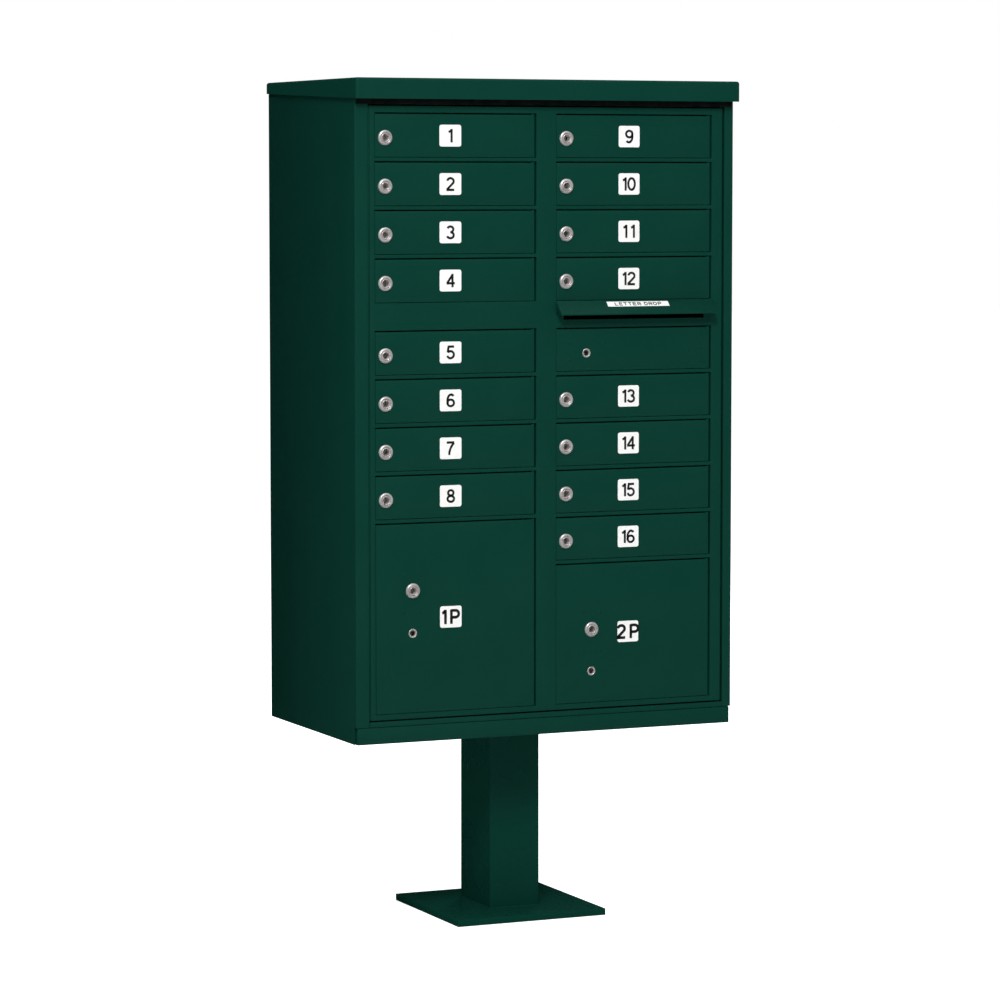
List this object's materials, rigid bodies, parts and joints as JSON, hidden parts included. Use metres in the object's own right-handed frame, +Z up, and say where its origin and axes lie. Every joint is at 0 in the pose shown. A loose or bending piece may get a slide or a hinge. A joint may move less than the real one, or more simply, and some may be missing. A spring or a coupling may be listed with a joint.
{
  "type": "cluster mailbox unit",
  "caption": "Pedestal-mounted cluster mailbox cabinet with a hinged master door carrying locked tenant doors, parcel lockers and a hooded outgoing-mail slot.",
  "frame": {"origin": "centre of the base plate's underside, which is the centre of the anchor-bolt pattern, on the ground", "axes": "+Z up; -Y is the front, where the doors face; +X is to the right of a person who faces the doors"},
  "size_m": [0.7746, 0.4617, 1.5748],
  "materials": {
    "green_powder_coat": "satin powder coat, deep green",
    "lock_chrome": "satin nickel-plated brass",
    "mill_aluminium": "mill finish sheet",
    "stainless_steel": "ground bar",
    "zinc_steel": "zinc plated",
    "white_plate": "white number plate and label strip",
    "black_ink": "black printed figures"
  },
  "bodies": {
    "root": {"base_plate": "green_powder_coat", "pedestal_post": "green_powder_coat", "head_bolts": "zinc_steel", "bottom_pan": "green_powder_coat", "side_panel_left": "green_powder_coat", "side_panel_right": "green_powder_coat", "back_panel": "green_powder_coat", "hood": "green_powder_coat", "front_frame": "green_powder_coat", "master_hinge_rod": "stainless_steel", "centre_divider": "mill_aluminium", "mail_shelves": "mill_aluminium"},
    "master_door": {"master_frame": "green_powder_coat", "band_panels": "green_powder_coat", "mail_slot_hood": "green_powder_coat", "door_hinge_rods": "stainless_steel"},
    "master_latch": {"master_latch": "zinc_steel"},
    "door_01": {"door_01": "green_powder_coat"},
    "lock_01": {"lock_01": "lock_chrome"},
    "door_02": {"door_02": "green_powder_coat"},
    "lock_02": {"lock_02": "lock_chrome"},
    "door_03": {"door_03": "green_powder_coat"},
    "lock_03": {"lock_03": "lock_chrome"},
    "door_04": {"door_04": "green_powder_coat"},
    "lock_04": {"lock_04": "lock_chrome"},
    "door_05": {"door_05": "green_powder_coat"},
    "lock_05": {"lock_05": "lock_chrome"},
    "door_06": {"door_06": "green_powder_coat"},
    "lock_06": {"lock_06": "lock_chrome"},
    "door_07": {"door_07": "green_powder_coat"},
    "lock_07": {"lock_07": "lock_chrome"},
    "door_08": {"door_08": "green_powder_coat"},
    "lock_08": {"lock_08": "lock_chrome"},
    "parcel_door_1": {"parcel_door_1": "green_powder_coat"},
    "parcel_lock_1": {"parcel_lock_1": "lock_chrome"},
    "carrier_lock_1": {"carrier_lock_1": "lock_chrome"},
    "parcel_bolt_1": {"parcel_bolt_1": "zinc_steel"},
    "door_09": {"door_09": "green_powder_coat"},
    "lock_09": {"lock_09": "lock_chrome"},
    "door_10": {"door_10": "green_powder_coat"},
    "lock_10": {"lock_10": "lock_chrome"},
    "door_11": {"door_11": "green_powder_coat"},
    "lock_11": {"lock_11": "lock_chrome"},
    "door_12": {"door_12": "green_powder_coat"},
    "lock_12": {"lock_12": "lock_chrome"},
    "outgoing_door": {"outgoing_door": "green_powder_coat"},
    "outgoing_lock": {"outgoing_lock": "lock_chrome"},
    "outgoing_bolt": {"outgoing_bolt": "zinc_steel"},
    "door_13": {"door_13": "green_powder_coat"},
    "lock_13": {"lock_13": "lock_chrome"},
    "door_14": {"door_14": "green_powder_coat"},
    "lock_14": {"lock_14": "lock_chrome"},
    "door_15": {"door_15": "green_powder_coat"},
    "lock_15": {"lock_15": "lock_chrome"},
    "door_16": {"door_16": "green_powder_coat"},
    "lock_16": {"lock_16": "lock_chrome"},
    "parcel_door_2": {"parcel_door_2": "green_powder_coat"},
    "parcel_lock_2": {"parcel_lock_2": "lock_chrome"},
    "carrier_lock_2": {"carrier_lock_2": "lock_chrome"},
    "parcel_bolt_2": {"parcel_bolt_2": "zinc_steel"}
  },
  "joints": [
    {"name": "master_hinge", "type": "hinge", "parent": "root", "child": "master_door", "pos_m": [0.3577, -0.2125, 0.9662], "axis": [0, 0, 1], "range_deg": [0, 105]},
    {"name": "master_latch_slide", "type": "slide", "parent": "master_door", "child": "master_latch", "axis": [-1, 0, 0], "range_m": [0, 0.01]},
    {"name": "door_01_hinge", "type": "hinge", "parent": "master_door", "child": "door_01", "pos_m": [-0.02905, -0.2135, 1.47138], "axis": [0, 0, 1], "range_deg": [0, 105]},
    {"name": "lock_01_turn", "type": "hinge", "parent": "door_01", "child": "lock_01", "pos_m": [-0.3237, -0.2175, 1.46738], "axis": [0, 1, 0], "range_deg": [0, 90]},
    {"name": "door_02_hinge", "type": "hinge", "parent": "master_door", "child": "door_02", "pos_m": [-0.02905, -0.2135, 1.38373], "axis": [0, 0, 1], "range_deg": [0, 105]},
    {"name": "lock_02_turn", "type": "hinge", "parent": "door_02", "child": "lock_02", "pos_m": [-0.3237, -0.2175, 1.37973], "axis": [0, 1, 0], "range_deg": [0, 90]},
    {"name": "door_03_hinge", "type": "hinge", "parent": "master_door", "child": "door_03", "pos_m": [-0.02905, -0.2135, 1.29608], "axis": [0, 0, 1], "range_deg": [0, 105]},
    {"name": "lock_03_turn", "type": "hinge", "parent": "door_03", "child": "lock_03", "pos_m": [-0.3237, -0.2175, 1.29208], "axis": [0, 1, 0], "range_deg": [0, 90]},
    {"name": "door_04_hinge", "type": "hinge", "parent": "master_door", "child": "door_04", "pos_m": [-0.02905, -0.2135, 1.20843], "axis": [0, 0, 1], "range_deg": [0, 105]},
    {"name": "lock_04_turn", "type": "hinge", "parent": "door_04", "child": "lock_04", "pos_m": [-0.3237, -0.2175, 1.20443], "axis": [0, 1, 0], "range_deg": [0, 90]},
    {"name": "door_05_hinge", "type": "hinge", "parent": "master_door", "child": "door_05", "pos_m": [-0.02905, -0.2135, 1.07737], "axis": [0, 0, 1], "range_deg": [0, 105]},
    {"name": "lock_05_turn", "type": "hinge", "parent": "door_05", "child": "lock_05", "pos_m": [-0.3237, -0.2175, 1.07337], "axis": [0, 1, 0], "range_deg": [0, 90]},
    {"name": "door_06_hinge", "type": "hinge", "parent": "master_door", "child": "door_06", "pos_m": [-0.02905, -0.2135, 0.98972], "axis": [0, 0, 1], "range_deg": [0, 105]},
    {"name": "lock_06_turn", "type": "hinge", "parent": "door_06", "child": "lock_06", "pos_m": [-0.3237, -0.2175, 0.98572], "axis": [0, 1, 0], "range_deg": [0, 90]},
    {"name": "door_07_hinge", "type": "hinge", "parent": "master_door", "child": "door_07", "pos_m": [-0.02905, -0.2135, 0.90207], "axis": [0, 0, 1], "range_deg": [0, 105]},
    {"name": "lock_07_turn", "type": "hinge", "parent": "door_07", "child": "lock_07", "pos_m": [-0.3237, -0.2175, 0.89807], "axis": [0, 1, 0], "range_deg": [0, 90]},
    {"name": "door_08_hinge", "type": "hinge", "parent": "master_door", "child": "door_08", "pos_m": [-0.02905, -0.2135, 0.81442], "axis": [0, 0, 1], "range_deg": [0, 105]},
    {"name": "lock_08_turn", "type": "hinge", "parent": "door_08", "child": "lock_08", "pos_m": [-0.3237, -0.2175, 0.81042], "axis": [0, 1, 0], "range_deg": [0, 90]},
    {"name": "parcel_door_1_hinge", "type": "hinge", "parent": "master_door", "child": "parcel_door_1", "pos_m": [-0.02905, -0.2135, 0.59213], "axis": [0, 0, 1], "range_deg": [0, 105]},
    {"name": "parcel_lock_1_turn", "type": "hinge", "parent": "parcel_door_1", "child": "parcel_lock_1", "pos_m": [-0.2708, -0.2175, 0.64315], "axis": [0, 1, 0], "range_deg": [0, 90]},
    {"name": "carrier_lock_1_turn", "type": "hinge", "parent": "parcel_door_1", "child": "carrier_lock_1", "pos_m": [-0.2708, -0.2175, 0.56485], "axis": [0, 1, 0], "range_deg": [0, 90]},
    {"name": "parcel_bolt_1_slide", "type": "slide", "parent": "parcel_door_1", "child": "parcel_bolt_1", "axis": [-1, 0, 0], "range_m": [0, 0.012]},
    {"name": "door_09_hinge", "type": "hinge", "parent": "master_door", "child": "door_09", "pos_m": [0.3322, -0.2135, 1.47138], "axis": [0, 0, 1], "range_deg": [0, 105]},
    {"name": "lock_09_turn", "type": "hinge", "parent": "door_09", "child": "lock_09", "pos_m": [0.03755, -0.2175, 1.46738], "axis": [0, 1, 0], "range_deg": [0, 90]},
    {"name": "door_10_hinge", "type": "hinge", "parent": "master_door", "child": "door_10", "pos_m": [0.3322, -0.2135, 1.38373], "axis": [0, 0, 1], "range_deg": [0, 105]},
    {"name": "lock_10_turn", "type": "hinge", "parent": "door_10", "child": "lock_10", "pos_m": [0.03755, -0.2175, 1.37973], "axis": [0, 1, 0], "range_deg": [0, 90]},
    {"name": "door_11_hinge", "type": "hinge", "parent": "master_door", "child": "door_11", "pos_m": [0.3322, -0.2135, 1.29608], "axis": [0, 0, 1], "range_deg": [0, 105]},
    {"name": "lock_11_turn", "type": "hinge", "parent": "door_11", "child": "lock_11", "pos_m": [0.03755, -0.2175, 1.29208], "axis": [0, 1, 0], "range_deg": [0, 90]},
    {"name": "door_12_hinge", "type": "hinge", "parent": "master_door", "child": "door_12", "pos_m": [0.3322, -0.2135, 1.20843], "axis": [0, 0, 1], "range_deg": [0, 105]},
    {"name": "lock_12_turn", "type": "hinge", "parent": "door_12", "child": "lock_12", "pos_m": [0.03755, -0.2175, 1.20443], "axis": [0, 1, 0], "range_deg": [0, 90]},
    {"name": "outgoing_door_hinge", "type": "hinge", "parent": "master_door", "child": "outgoing_door", "pos_m": [0.3322, -0.2135, 1.07737], "axis": [0, 0, 1], "range_deg": [0, 105]},
    {"name": "outgoing_lock_turn", "type": "hinge", "parent": "outgoing_door", "child": "outgoing_lock", "pos_m": [0.07925, -0.2175, 1.07137], "axis": [0, 1, 0], "range_deg": [0, 90]},
    {"name": "outgoing_bolt_slide", "type": "slide", "parent": "outgoing_door", "child": "outgoing_bolt", "axis": [-1, 0, 0], "range_m": [0, 0.012]},
    {"name": "door_13_hinge", "type": "hinge", "parent": "master_door", "child": "door_13", "pos_m": [0.3322, -0.2135, 0.98972], "axis": [0, 0, 1], "range_deg": [0, 105]},
    {"name": "lock_13_turn", "type": "hinge", "parent": "door_13", "child": "lock_13", "pos_m": [0.03755, -0.2175, 0.98572], "axis": [0, 1, 0], "range_deg": [0, 90]},
    {"name": "door_14_hinge", "type": "hinge", "parent": "master_door", "child": "door_14", "pos_m": [0.3322, -0.2135, 0.90207], "axis": [0, 0, 1], "range_deg": [0, 105]},
    {"name": "lock_14_turn", "type": "hinge", "parent": "door_14", "child": "lock_14", "pos_m": [0.03755, -0.2175, 0.89807], "axis": [0, 1, 0], "range_deg": [0, 90]},
    {"name": "door_15_hinge", "type": "hinge", "parent": "master_door", "child": "door_15", "pos_m": [0.3322, -0.2135, 0.81442], "axis": [0, 0, 1], "range_deg": [0, 105]},
    {"name": "lock_15_turn", "type": "hinge", "parent": "door_15", "child": "lock_15", "pos_m": [0.03755, -0.2175, 0.81042], "axis": [0, 1, 0], "range_deg": [0, 90]},
    {"name": "door_16_hinge", "type": "hinge", "parent": "master_door", "child": "door_16", "pos_m": [0.3322, -0.2135, 0.72677], "axis": [0, 0, 1], "range_deg": [0, 105]},
    {"name": "lock_16_turn", "type": "hinge", "parent": "door_16", "child": "lock_16", "pos_m": [0.03755, -0.2175, 0.72277], "axis": [0, 1, 0], "range_deg": [0, 90]},
    {"name": "parcel_door_2_hinge", "type": "hinge", "parent": "master_door", "child": "parcel_door_2", "pos_m": [0.3322, -0.2135, 0.5483], "axis": [0, 0, 1], "range_deg": [0, 105]},
    {"name": "parcel_lock_2_turn", "type": "hinge", "parent": "parcel_door_2", "child": "parcel_lock_2", "pos_m": [0.09045, -0.2175, 0.5555], "axis": [0, 1, 0], "range_deg": [0, 90]},
    {"name": "carrier_lock_2_turn", "type": "hinge", "parent": "parcel_door_2", "child": "carrier_lock_2", "pos_m": [0.09045, -0.2175, 0.4772], "axis": [0, 1, 0], "range_deg": [0, 90]},
    {"name": "parcel_bolt_2_slide", "type": "slide", "parent": "parcel_door_2", "child": "parcel_bolt_2", "axis": [-1, 0, 0], "range_m": [0, 0.012]}
  ],
  "couplings": [
    {"joint": "parcel_bolt_1_slide", "follows": "parcel_lock_1_turn", "m_per_rad": 0.0076394},
    {"joint": "outgoing_bolt_slide", "follows": "outgoing_lock_turn", "m_per_rad": 0.0076394},
    {"joint": "parcel_bolt_2_slide", "follows": "parcel_lock_2_turn", "m_per_rad": 0.0076394}
  ]
}
